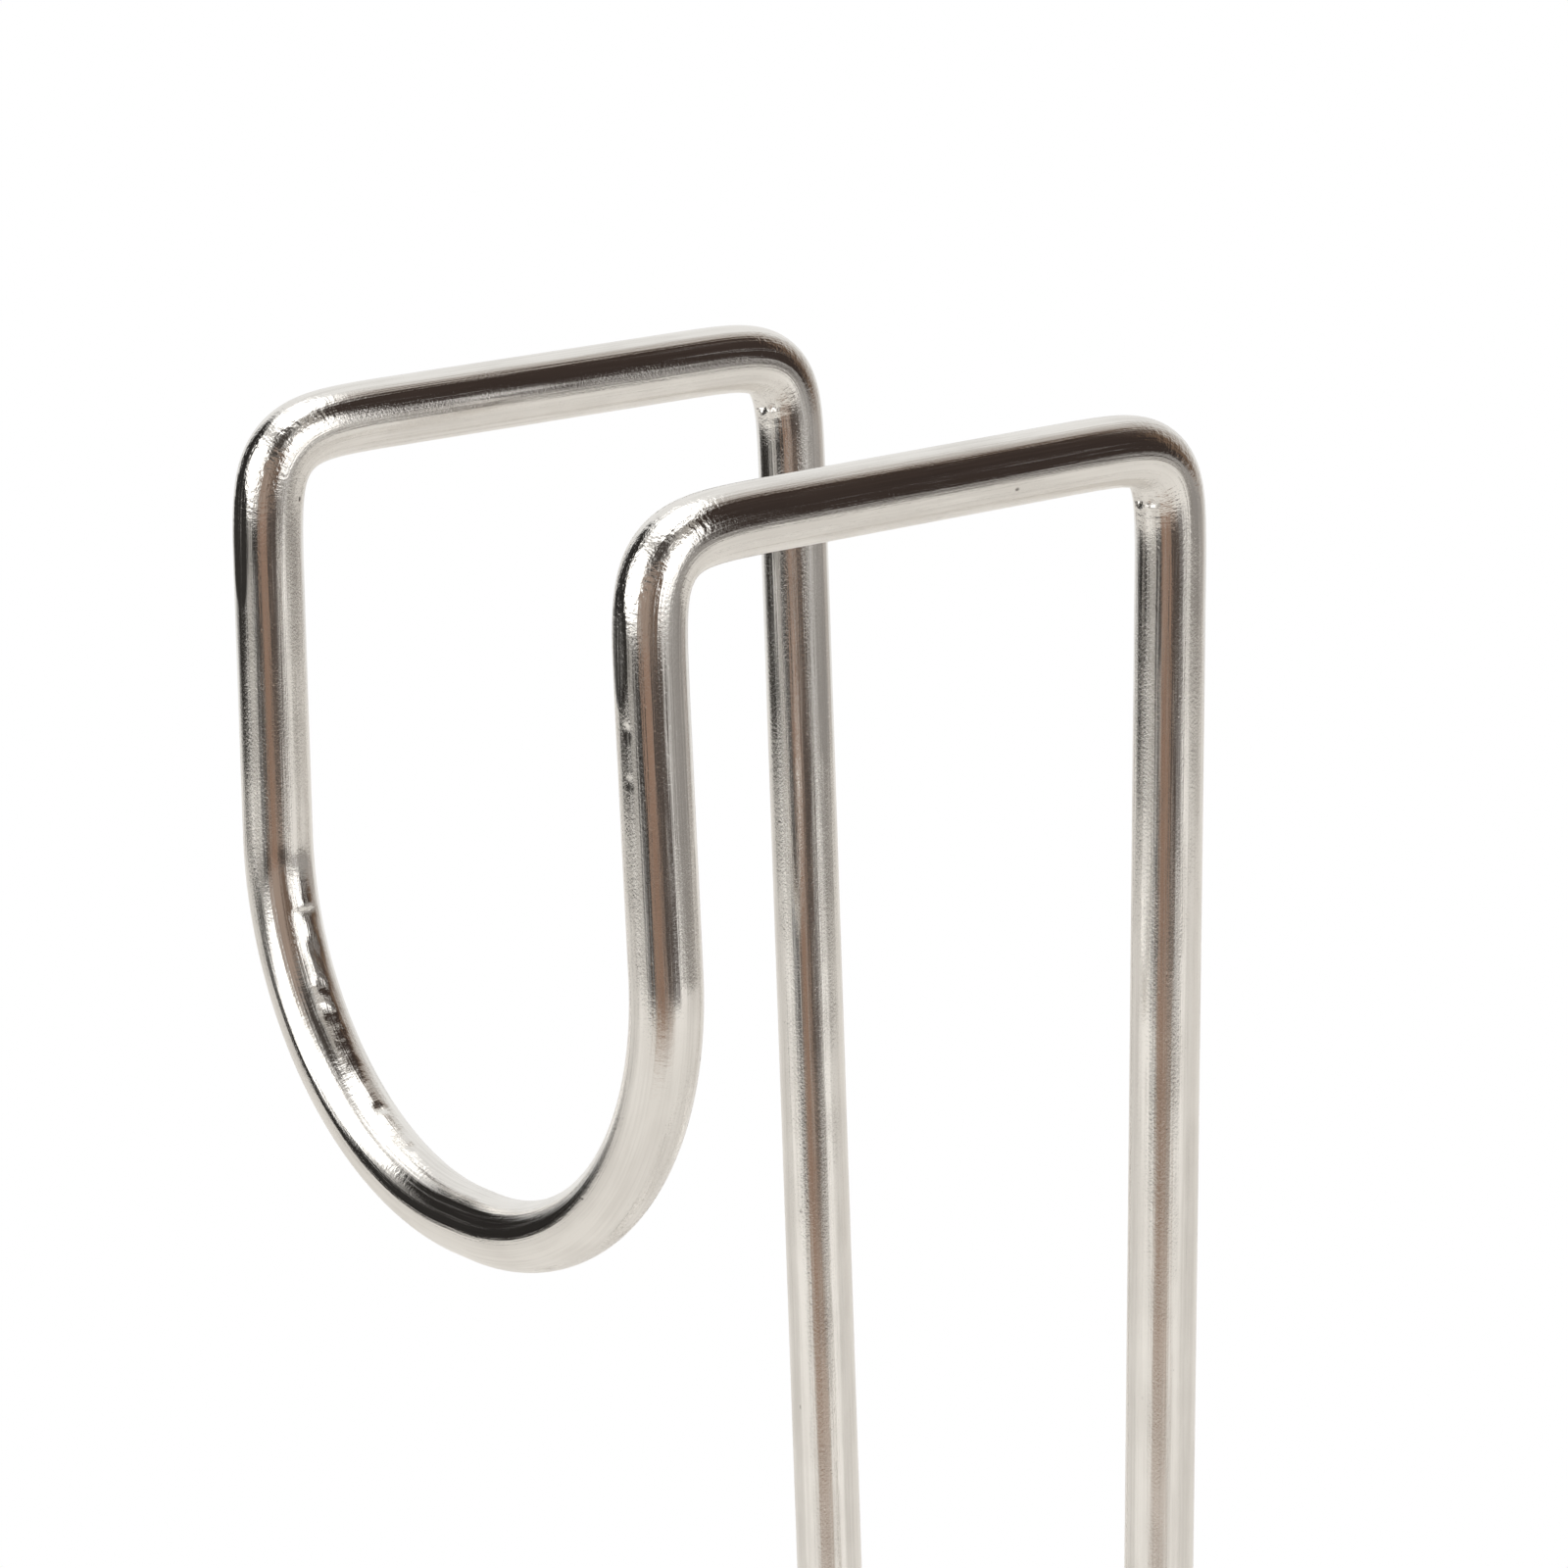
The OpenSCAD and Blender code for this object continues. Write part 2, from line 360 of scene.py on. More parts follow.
    def cut_end(self):
        """Closes the last ring as a cut end with its edge taken off."""
        cut, edge = self.cut_factors()
        self.grow_ring(edge, self.chamfer * EDGE_STEP)
        self.grow_ring(cut / edge, self.chamfer * FACE_STEP)
        bmesh.ops.contextual_create(self.bm, geom=self.last_edges)

    def done(self, joined=False):
        """Divides the straight runs into rings, joins a closed wire's ends, and returns the mesh."""
        for lengthwise, cuts in self.runs:
            if cuts > 0:
                bmesh.ops.subdivide_edges(self.bm, edges=lengthwise, cuts=cuts)
        if joined:
            near = self.run_step / 4
            fed = [(v, v[self.straight].z) for v in self.bm.verts]
            seam = [v for v, at in fed if at < near or at > self.fed - near]
            bmesh.ops.remove_doubles(self.bm, verts=seam, dist=self.radius * 2 * SEAM_MERGE)
        bmesh.ops.recalc_face_normals(self.bm, faces=self.bm.faces)
        return self.bm


def finish_mesh(bm, name, smooth=True):
    """Turns a bmesh into an object at the origin, with its faces pointing outwards."""
    bmesh.ops.recalc_face_normals(bm, faces=bm.faces)
    for face in bm.faces:
        face.smooth = smooth
    mesh = bpy.data.meshes.new(name)
    bm.to_mesh(mesh)
    bm.free()
    piece = bpy.data.objects.new(name, mesh)
    bpy.context.scene.collection.objects.link(piece)
    return piece


def stand_for(bm, ending, node, body, finish):
    """Puts a drawn piece, named after its CAD node with an ending, in that node's place."""
    piece = finish_mesh(bm, node + ending)
    piece.data.materials.append(bpy.data.materials[finish])
    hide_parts(node)
    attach(piece, body)


# Materials


def new_node(tree, kind, **values):
    """Adds a node and sets its own properties, then its input sockets by name or number."""
    inputs = values.pop("inputs", {})
    made = tree.nodes.new(kind)
    for key, value in values.items():
        setattr(made, key, value)
    for key, value in inputs.items():
        if isinstance(value, bpy.types.NodeSocket):
            tree.links.new(value, made.inputs[key])
        else:
            made.inputs[key].default_value = value
    return made


def math_node(tree, operation, a, b=0.0):
    return new_node(tree, "ShaderNodeMath", operation=operation, inputs={0: a, 1: b}).outputs[0]


def ramp_between(tree, value, low, high, out_low=0.0, out_high=1.0):
    """Smooth step of a value from one level to another."""
    inputs = {"Value": value, 1: low, 2: high, 3: out_low, 4: out_high}
    made = new_node(tree, "ShaderNodeMapRange", interpolation_type="SMOOTHSTEP", inputs=inputs)
    return made.outputs[0]


def noise_node(tree, vector, scale, detail=2.0, roughness=0.5):
    inputs = {"Vector": vector, "Scale": scale, "Detail": detail, "Roughness": roughness}
    return new_node(tree, "ShaderNodeTexNoise", inputs=inputs).outputs["Fac"]


def mix_colour(tree, factor, a, b):
    """Mix of two colours, which are sockets 6 and 7 of the node."""
    return new_node(tree, "ShaderNodeMix", data_type="RGBA", inputs={0: factor, 6: a, 7: b}).outputs[2]


def rgba(colour_value):
    return (*colour_value, 1.0)


def new_material(name):
    """Empty node material with a Principled shader, which is returned with its tree."""
    material = bpy.data.materials.new(name)
    material.use_nodes = True
    tree = material.node_tree
    return material, tree, tree.nodes["Principled BSDF"]


# Noises of the drawn wire's surface: waves per millimetre across and along the wire, detail, roughness
WIRE_NOISES = {
    "fine lines": (5.0, 0.06, 3.0, 0.6),
    "broad lines": (1.5, 0.025, 2.0, 0.55),
    "scores": (3.6, 0.045, 3.0, 0.7),
    "grit": (7.0, 4.5, 2.0, 0.65),
    "waves": (0.12, 0.12, 1.0, 0.5),
    "patches": (0.5, 0.16, 2.0, 0.6),
    "peel": (1.9, 3.0, 2.0, 0.65),
    "teeth": (0.9, 3.6, 2.0, 0.6),
}

# Cells with its pits and specks, per millimetre across and along the wire
PIT_CELLS = (0.9, 0.6)
SPECK_CELLS = (2.6, 1.7)

# Levels of a noise, of the distance in a cell or of the stretch, between which each feature sets in
SCORE_LEVELS = (0.50, 0.68)
PIT_EDGE = (0.16, 0.06)
PIT_PATCHES = (0.66, 0.76)
SPECK_EDGE = (0.30, 0.08)
SPECK_CHANCE = (0.45, 0.85)
STRETCHED = (0.0, 0.6)
PRESSED = (0.0, -0.7)
GRIT_PATCHES = (0.38, 0.66)

# Heights and depths in millimetres
FINE_LINE_HEIGHT = 0.019
BROAD_LINE_HEIGHT = 0.026
GRIT_HEIGHTS = (0.006, 0.011)
PEEL_HEIGHT = 0.055
TOOTH_HEIGHT = 0.035
WAVE_HEIGHT = 0.05
SPECK_DEPTH = 0.003
PIT_DEPTH = 0.02

# Levels of the polish between which the colour and the sheen turn dull, and the roughness
DULL_COLOUR = (0.40, 0.62)
DULL_SHEEN = (0.38, 0.62)
WIRE_ROUGHNESS = (0.035, 0.09)
SCORE_ROUGHNESS = 0.17

# Stained finishes: scale, detail and roughness of the grain and of the stains, levels between which a
# stain sets in, which of the two sets the sheen, its roughness, the grain's height, and the metal share
STAINED = {
    WELD_FINISH: ((900, 3.0, 0.6), (350, 2.0, 0.5), (0.42, 0.62), "grain", (0.18, 0.42), 0.25 * MM, 1.0),
    CAP_FINISH: ((6000, 2.0, 0.6), (300, 3.0, 0.6), (0.45, 0.75), "stain", (0.34, 0.52), 0.02 * MM, 0.0),
}
SHEEN_LEVELS = (0.3, 0.7)

# How much paler handling makes the vinyl
HANDLED_PALER = 2.6


def drawn_wire_group():
    """Surface of drawn and polished wire: lengthwise lines, grit, and the cross-grained peel of bends.

    Its height is in millimetres.
    """
    group = bpy.data.node_groups.new("drawn wire surface", "ShaderNodeTree")
    for name in ("Height", "Polish", "Scores", "Pits"):
        group.interface.new_socket(name, in_out="OUTPUT", socket_type="NodeSocketFloat")
    result = group.nodes.new("NodeGroupOutput")
    place = new_node(group, "ShaderNodeAttribute", attribute_name=STRAIGHT).outputs["Vector"]
    strain = new_node(group, "ShaderNodeAttribute", attribute_name=STRETCH).outputs["Fac"]

    def grain(across, along):
        scale = (across / MM, across / MM, along / MM)
        return new_node(group, "ShaderNodeMapping", inputs={"Vector": place, "Scale": scale}).outputs[0]

    def cells(per_mm):
        inputs = {"Vector": grain(*per_mm), "Scale": 1.0}
        return new_node(group, "ShaderNodeTexVoronoi", inputs=inputs).outputs

    def times(a, b):
        return math_node(group, "MULTIPLY", a, b)

    noises = {
        name: noise_node(group, grain(across, along), 1.0, detail, roughness)
        for name, (across, along, detail, roughness) in WIRE_NOISES.items()
    }
    fine_lines, patches = noises["fine lines"], noises["patches"]
    scores = ramp_between(group, noises["scores"], *SCORE_LEVELS)
    pits = ramp_between(group, cells(PIT_CELLS)["Distance"], *PIT_EDGE)
    pits = times(pits, ramp_between(group, patches, *PIT_PATCHES))
    speck_cells = cells(SPECK_CELLS)
    chance = new_node(group, "ShaderNodeSeparateColor", inputs={0: speck_cells["Color"]}).outputs[0]
    specks = ramp_between(group, speck_cells["Distance"], *SPECK_EDGE)
    specks = times(specks, ramp_between(group, chance, *SPECK_CHANCE))
    outer = ramp_between(group, strain, *STRETCHED)
    bent = math_node(group, "MAXIMUM", outer, ramp_between(group, strain, *PRESSED))

    height = times(fine_lines, FINE_LINE_HEIGHT)
    for more in (
        times(noises["broad lines"], BROAD_LINE_HEIGHT),
        times(noises["grit"], ramp_between(group, patches, *GRIT_PATCHES, *GRIT_HEIGHTS)),
        times(times(noises["peel"], bent), PEEL_HEIGHT),
        times(times(noises["teeth"], bent), TOOTH_HEIGHT),
        times(noises["waves"], WAVE_HEIGHT),
        times(specks, -SPECK_DEPTH),
        times(pits, -PIT_DEPTH),
    ):
        height = math_node(group, "ADD", height, more)
    group.links.new(height, result.inputs["Height"])
    polish = math_node(group, "ADD", times(fine_lines, 0.5), times(patches, 0.5))
    group.links.new(polish, result.inputs["Polish"])
    group.links.new(scores, result.inputs["Scores"])
    group.links.new(pits, result.inputs["Pits"])
    return group


def dress(tree, shader, body, rough, height, distance):
    """Gives a shader its colour, its roughness and the relief of its surface."""
    inputs = {"Strength": 1.0, "Distance": distance, "Height": height}
    relief = new_node(tree, "ShaderNodeBump", inputs=inputs).outputs[0]
    for key, value in (("Base Color", body), ("Roughness", rough), ("Normal", relief)):
        tree.links.new(value, shader.inputs[key])


def bright_wire_material(finishes):
    _, tree, shader = new_material(WIRE_FINISH)
    surface = tree.nodes.new("ShaderNodeGroup")
    surface.node_tree = drawn_wire_group()
    surface = surface.outputs
    tone = ramp_between(tree, surface["Polish"], *DULL_COLOUR)
    body = mix_colour(tree, tone, rgba(finishes.wire), rgba(finishes.wire_dull))
    body = mix_colour(tree, surface["Pits"], body, rgba(finishes.pit))
    shader.inputs["Metallic"].default_value = 1.0
    rough = ramp_between(tree, surface["Polish"], *DULL_SHEEN, *WIRE_ROUGHNESS)
    scored = math_node(tree, "MULTIPLY", surface["Scores"], SCORE_ROUGHNESS)
    dress(tree, shader, body, math_node(tree, "ADD", rough, scored), surface["Height"], MM)


def stained_material(finish, clean, stained):
    """Weld metal with its heat tint, or vinyl with its traces of handling."""
    grain, stain, levels, sheen_from, roughness, height, metallic = STAINED[finish]
    _, tree, shader = new_material(finish)
    place = new_node(tree, "ShaderNodeTexCoord").outputs["Object"]
    noises = {"grain": noise_node(tree, place, *grain), "stain": noise_node(tree, place, *stain)}
    tint = ramp_between(tree, noises["stain"], *levels)
    body = mix_colour(tree, tint, rgba(clean), rgba(stained))
    shader.inputs["Metallic"].default_value = metallic
    rough = ramp_between(tree, noises[sheen_from], *SHEEN_LEVELS, *roughness)
    dress(tree, shader, body, rough, noises["grain"], height)


def make_materials():
    finishes = bpy.context.scene.finishes
    bright_wire_material(finishes)
    stained_material(WELD_FINISH, finishes.weld, finishes.heat_tint)
    stained_material(CAP_FINISH, finishes.cap, [c * HANDLED_PALER for c in finishes.cap])


# Routes of the wires


def mirrored(half):
    """Whole route from one that starts beside the middle plane, left end first."""
    left_half = [Vector((-p.x, p.y, p.z)) for p in reversed(half)]
    return left_half + half


def hanger_route(sizes):
    """Corner points of the hanger wire from the left leg's end to the right leg's, and its bends."""
    low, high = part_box("hanger_wire")
    bar_z = high.z - WIRE_D / 2
    legs_y = high.y - WIRE_D / 2
    loop_y = low.y + WIRE_D / 2
    end_z = low.z + WIRE_D / 2 * math.sin(sizes.leg_toe_in)
    drop = sizes.loop_drop
    arm_top = Vector((sizes.loop_w / 2, loop_y, bar_z))
    splay, lean = drop * math.tan(sizes.arm_splay), drop * math.tan(sizes.arm_lean)
    arm_bottom = Vector((sizes.loop_w / 2 + splay, loop_y + lean, bar_z - drop))
    rear = Vector((sizes.legs_w / 2, legs_y, bar_z))
    end = Vector((rear.x - (bar_z - end_z) * math.tan(sizes.leg_toe_in), legs_y, end_z))
    loop_turn = ACROSS.angle(arm_top - arm_bottom)
    loop_bend = (arm_bottom.x - sizes.loop_flat / 2) / math.tan(loop_turn / 2)
    taper = bpy.context.scene.fineness.bend_taper
    half_bends = [(loop_bend, 0.0), (sizes.front_bend, taper), (sizes.rear_bend, taper)]
    return mirrored([arm_bottom, arm_top, rear, end]), half_bends[::-1] + half_bends


# Marks that the bending tools leave on the hanger, in millimetres. Each has its distance along the wire
# from the middle of the loop and the side of the wire that it is on. Flats and dents then have half
# their width and length, and dents their depth, which is below zero for a raised edge.
FLATS = (
    (59.8, (-0.11, -1, 0), 0.9, 3.8),
    (-59.3, (0.0, -1, 0), 0.9, 4.4),
)
DENTS = (
    (111.5, (-0.15, -0.92, -0.37), 0.50, 0.65, 0.34),
    (111.3, (0.37, -0.87, -0.33), 0.50, 0.60, 0.30),
    (-111.5, (0.08, -0.94, -0.35), 0.50, 0.65, 0.34),
    (-111.3, (0.45, -0.85, -0.29), 0.48, 0.60, 0.30),
    (54.5, (0.22, -1, 0), 0.26, 0.55, 0.075),
    (51.0, (0.16, -1, 0), 0.20, 0.28, 0.06),
    (-32.3, (1, 0.15, 0.2), 1.7, 0.45, -0.10),
    (-31.3, (1, 0.1, 0.2), 1.5, 0.65, 0.13),
    (-28.6, (1, 0.1, 0.4), 0.9, 1.2, 0.09),
    (-25.6, (1, 0, 0.5), 0.7, 0.9, 0.11),
    (-23.2, (1, 0, 0.7), 0.8, 0.8, 0.10),
    (-21.6, (1, 0.1, 0.8), 0.6, 0.6, 0.10),
    (-13.9, (0.7, 0.05, 1), 0.75, 0.5, 0.18),
    (-12.9, (0.6, 0.05, 1), 0.8, 0.5, -0.05),
    (-9.0, (0.4, -0.05, 1), 0.7, 0.4, 0.13),
    (-8.3, (0.4, -0.05, 1), 0.7, 0.4, -0.04),
)
WRINKLES = ((111.3, (0.25, -0.9, -0.33)), (-111.3, (0.41, -0.86, -0.31)))
WRINKLE_HALF_LENGTH = 1.6
WRINKLE_HALF_WIDTH = 1.7
WRINKLE_PITCH = 1.05
WRINKLE_DEPTH = 0.05

# Strip that is pressed unevenly into the loop: start, end, side, half width and depth. Then how fast its
# depth changes across and along, and the mean and spread of that.
PRESSED_STRIP = (-33.0, -9.0, (1, 0, 0.6), 1.5, 0.055)
STRIP_GRAIN = (0.9, 0.65)
STRIP_NOISE_PLACE = 3.1
STRIP_MEAN = 0.35
STRIP_SPREAD = 1.6


def press_marks(pen):
    """Presses the marks of the bending tools into the hanger wire."""
    pen.bm.normal_update()
    middle = pen.fed / 2
    wire_r = pen.radius / MM
    skin = {}
    for v in pen.bm.verts:
        x, y, fed = v[pen.straight]
        along = (fed - middle) / MM
        skin.setdefault(math.floor(along), []).append((v, along, math.atan2(y, x), v.normal.copy()))

    def around(at, side, half_length):
        """Places near a mark as vertex, normal, and distances along and across from its middle."""
        side = Vector(side).normalized()
        facing = max(skin[math.floor(at)], key=lambda place: place[3].dot(side))[2]
        for part in range(math.floor(at - half_length), math.floor(at + half_length) + 1):
            for v, along, turn, normal in skin[part]:
                if abs(along - at) <= half_length:
                    across = (turn - facing + math.pi) % (2 * math.pi) - math.pi
                    yield v, normal, along - at, across * wire_r

    for at, side, half_width, half_length in FLATS:
        for v, normal, along, across in around(at, side, half_length):
            half = half_width * math.sqrt(1 - (along / half_length) ** 2) / wire_r
            turn = across / wire_r
            if abs(turn) < half:
                v.co -= normal * wire_r * (1 - math.cos(half) / math.cos(turn)) * MM
    for at, side, half_width, half_length, depth in DENTS:
        for v, normal, along, across in around(at, side, half_length):
            off = (along / half_length) ** 2 + (across / half_width) ** 2
            if off < 1:
                v.co -= normal * depth * (1 - off) ** 2 * MM
    start, end, side, half_width, depth = PRESSED_STRIP
    half_length = (end - start) / 2
    for v, normal, along, across in around((start + end) / 2, side, half_length):
        off = max(abs(along / half_length) ** 3, abs(across / half_width))
        if off < 1:
            place = Vector((across * STRIP_GRAIN[0], along * STRIP_GRAIN[1], STRIP_NOISE_PLACE))
            uneven = STRIP_MEAN + STRIP_SPREAD * noise.noise(place)
            v.co -= normal * depth * (1 - off) * uneven * MM
    for at, side in WRINKLES:
        for v, normal, along, across in around(at, side, WRINKLE_HALF_LENGTH):
            fold = math.cos(along * 2 * math.pi / WRINKLE_PITCH)
            fold *= 1 - (along / WRINKLE_HALF_LENGTH) ** 2
            fold *= max(0.0, 1 - (across / WRINKLE_HALF_WIDTH) ** 2)
            v.co -= normal * WRINKLE_DEPTH * fold * MM


class BAG_OT_hanger(bpy.types.Operator):
    """Bend the hanger wire with its loop, top bars and legs"""

    bl_idname = "bag_holder.hanger"
    bl_label = "Hanger wire"

    def execute(self, context):
        scene = context.scene
        route, bends = hanger_route(scene.hanger_sizes)
        fineness = scene.fineness
        pen = WirePen(WIRE_D, route[0], route[1] - route[0], fineness, fineness.bend_step)
        pen.cut_start()
        pen.along(route, bends)
        pen.cut_end()
        bm = pen.done()
        press_marks(pen)
        stand_for(bm, "_bent", "hanger_wire", HANGER, WIRE_FINISH)
        return {"FINISHED"}


class BAG_OT_bag_ring(bpy.types.Operator):
    """Bend the closed ring that the mouth of the bag is folded over"""

    bl_idname = "bag_holder.bag_ring"
    bl_label = "Bag ring"

    def execute(self, context):
        scene = context.scene
        sizes = scene.ring_sizes
        low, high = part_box("bag_ring")
        inset = Vector((1, 1, 1)) * WIRE_D / 2
        low, high = low + inset, high - inset
        start = Vector((0, low.y, low.z))
        corners = ((high.x, low.y), (high.x, high.y), (low.x, high.y), (low.x, low.y))
        route = [start, *[Vector((x, y, low.z)) for x, y in corners], start]
        rear, front = (sizes.rear_corner, 0.0), (sizes.front_corner, 0.0)
        pen = WirePen(WIRE_D, start, ACROSS, scene.fineness)
        pen.along(route, [rear, front, front, rear])
        stand_for(pen.done(joined=True), "_bent", "bag_ring", HANGER, WIRE_FINISH)
        return {"FINISHED"}


class BAG_OT_clamp_ring(bpy.types.Operator):
    """Bend the clamp ring with its two hinge eyes"""

    bl_idname = "bag_holder.clamp_ring"
    bl_label = "Clamp ring"

    def execute(self, context):
        scene = context.scene
        sizes = scene.ring_sizes
        low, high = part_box("bag_ring")
        rear_y = low.y + WIRE_D / 2
        front_y = high.y - WIRE_D / 2
        ring_z = (low.z + high.z) / 2
        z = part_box("clamp_ring")[1].z - CLAMP_D / 2
        eye_r = z - ring_z
        eye_x = RING_W / 2 - sizes.rear_corner - sizes.eye_play - CLAMP_D / 2
        half = [
            Vector((RING_W / 2, front_y, z)),
            Vector((RING_W / 2, rear_y + sizes.jog_lead + sizes.jog_len, z)),
            Vector((eye_x, rear_y + sizes.jog_lead, z)),
            Vector((eye_x, rear_y, z)),
        ]
        half_bends = [(sizes.front_corner, 0.0), (sizes.jog_bend, 0.0), (sizes.jog_bend, 0.0)]
        route, bends = mirrored(half), half_bends[::-1] + half_bends
        tail_spin = Matrix.Rotation(sizes.eye_turn - 2 * QUARTER_TURN, 3, ACROSS)
        axle = Vector((-eye_x, rear_y, ring_z))
        start = axle + tail_spin @ (DOWN * eye_r)
        pen = WirePen(CLAMP_D, start, tail_spin @ Vector((0, -1, 0)), scene.fineness)
        pen.cut_start()
        pen.bend((axle - start).normalized(), eye_r, sizes.eye_turn)
        pen.along(route, bends)
        pen.bend(DOWN, eye_r, sizes.eye_turn)
        pen.cut_end()
        stand_for(pen.done(), "_bent", "clamp_ring", CLAMP, WIRE_FINISH)
        return {"FINISHED"}


class BAG_OT_lift_tab(bpy.types.Operator):
    """Bend the small loop that lifts the clamp ring"""

    bl_idname = "bag_holder.lift_tab"
    bl_label = "Lift tab"

    def execute(self, context):
        scene = context.scene
        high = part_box("lift_tab")[1]
        z = node_middle("lift_tab").z
        x = high.x - TAB_D / 2
        front_y = high.y - TAB_D / 2
        foot_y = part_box("bag_ring")[1].y - WIRE_D / 2 + CLAMP_D / 4
        route = mirrored([Vector((x, front_y, z)), Vector((x, foot_y, z))])
        corner = (scene.ring_sizes.tab_corner, 0.0)
        pen = WirePen(TAB_D, route[0], route[1] - route[0], scene.fineness)
        pen.cut_start()
        pen.along(route, [corner, corner])
        pen.cut_end()
        stand_for(pen.done(), "_bent", "lift_tab", CLAMP, WIRE_FINISH)
        return {"FINISHED"}


class BAG_OT_leg_tie(bpy.types.Operator):
    """Cut the short cross wire between the legs"""

    bl_idname = "bag_holder.leg_tie"
    bl_label = "Leg tie"

    def execute(self, context):
        middle = node_middle("leg_tie")
        start = Vector((0, middle.y, middle.z))
        pen = WirePen(TIE_D, start, ACROSS, context.scene.fineness)
        pen.feed(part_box("leg_tie")[1].x - pen.chamfer * (EDGE_STEP + FACE_STEP))
        pen.cut_end()
        bm = pen.done()
        everything = list(bm.verts) + list(bm.edges) + list(bm.faces)
        bmesh.ops.mirror(bm, geom=everything, axis="X", merge_dist=TIE_D * SEAM_MERGE)
        stand_for(bm, "_cut", "leg_tie", HANGER, WIRE_FINISH)
        return {"FINISHED"}


# Unevenness of the caps and of the weld metal
CAP_UNEVEN = 0.05 * MM
CAP_LUMP = 4 * MM
WELD_UNEVEN = 0.22 * MM
WELD_LUMP = 0.9 * MM

# Neck of a cap: steps in from the rim and down from the mouth, in wall thicknesses
CAP_NECK = ((0, 1), (0.04, 1.3), (0.2, 1.9))

# Rounds of a cap and of the weld metal: first and last angle in degrees, and the parts between them
CAP_RIM_ROUND = (160, 0, 10)
CAP_END_ROUND = (0, -90, 14)
BEAD_ROUND = (-90, 90, 12)
FILLET_ROUND = (180, 270, 8)

# How deep a bead sits in the wire, in bead widths
BEAD_SINK = 1 / 8

# Collar of the lift tab: its bore and flare in foot radii, and the share of its reach that is filleted
COLLAR_BORE = 0.9
COLLAR_FLARE = 0.2
COLLAR_FILLET = 0.45

# Fineness of the squeezed weld metal
NUGGET_FINENESS = 6

# Points closer than this are one point
SAME_POINT = 0.001 * MM


def turned(profile, steps, closed=False):
    """Solid turned around Z from a profile of radius and height. A closed profile makes a ring."""
    bm = bmesh.new()
    points = [bm.verts.new((radius, 0, height)) for radius, height in profile]
    line = [bm.edges.new(pair) for pair in zip(points, points[1:])]
    if closed:
        line.append(bm.edges.new((points[-1], points[0])))
    around = {"cent": (0, 0, 0), "axis": (0, 0, 1), "angle": 4 * QUARTER_TURN}
    bmesh.ops.spin(bm, geom=points + line, steps=steps, use_merge=True, **around)
    bmesh.ops.remove_doubles(bm, verts=bm.verts, dist=SAME_POINT)
    bmesh.ops.recalc_face_normals(bm, faces=bm.faces)
    return bm


def make_lumpy(bm, depth, lump):
    """Moves a skin in and out in lumps of about a given size."""
    bm.normal_update()
    for v in bm.verts:
        v.co += v.normal * depth * noise.noise(v.co / lump)


def standing(at, up):
    """Placement at a point, with Z turned to a direction."""
    return Matrix.Translation(at) @ up.to_track_quat("Z", "Y").to_matrix().to_4x4()


def arc(middle, half_w, half_h, start, end, parts):
    """Points on part of an ellipse around a place in a profile, between two angles in degrees."""
    for i in range(parts + 1):
        turn = math.radians(start + (end - start) * i / parts)
        yield middle[0] + half_w * math.cos(turn), middle[1] + half_h * math.sin(turn)


def cap_profile(bore_r, cap_r, depth):
    """Half section of a dipped cap: its bore, thick rim, body and round end."""
    wall = cap_r - bore_r
    rim = wall / 2
    inside = [(0, 0), (bore_r, 0), (bore_r, depth - wall)]
    rim_round = arc((bore_r + rim, depth - rim), rim, rim, *CAP_RIM_ROUND)
    neck = [(cap_r - wall * inward, depth - wall * down) for inward, down in CAP_NECK]
    body_r = neck[-1][0]
    round_end = arc((0, 0), body_r, cap_r, *CAP_END_ROUND)
    return [*inside, *rim_round, *neck, *round_end]


class BAG_OT_leg_caps(bpy.types.Operator):
    """Dip the two soft caps on the ends of the legs"""

    bl_idname = "bag_holder.leg_caps"
    bl_label = "Leg caps"

    def execute(self, context):
        scene = context.scene
        sizes = scene.hanger_sizes
        route, _ = hanger_route(sizes)
        cap_r = node_size("left_leg_cap").y / 2
        legs = (("left_leg_cap", route[0], route[1]), ("right_leg_cap", route[-1], route[-2]))
        for node, end, above in legs:
            profile = cap_profile(WIRE_D / 2, cap_r, sizes.cap_depth)
            bm = turned(profile, scene.fineness.sides)
            bmesh.ops.transform(bm, verts=bm.verts, matrix=standing(end, above - end))
            make_lumpy(bm, CAP_UNEVEN, CAP_LUMP)
            stand_for(bm, "_dipped", node, HANGER, CAP_FINISH)
        return {"FINISHED"}


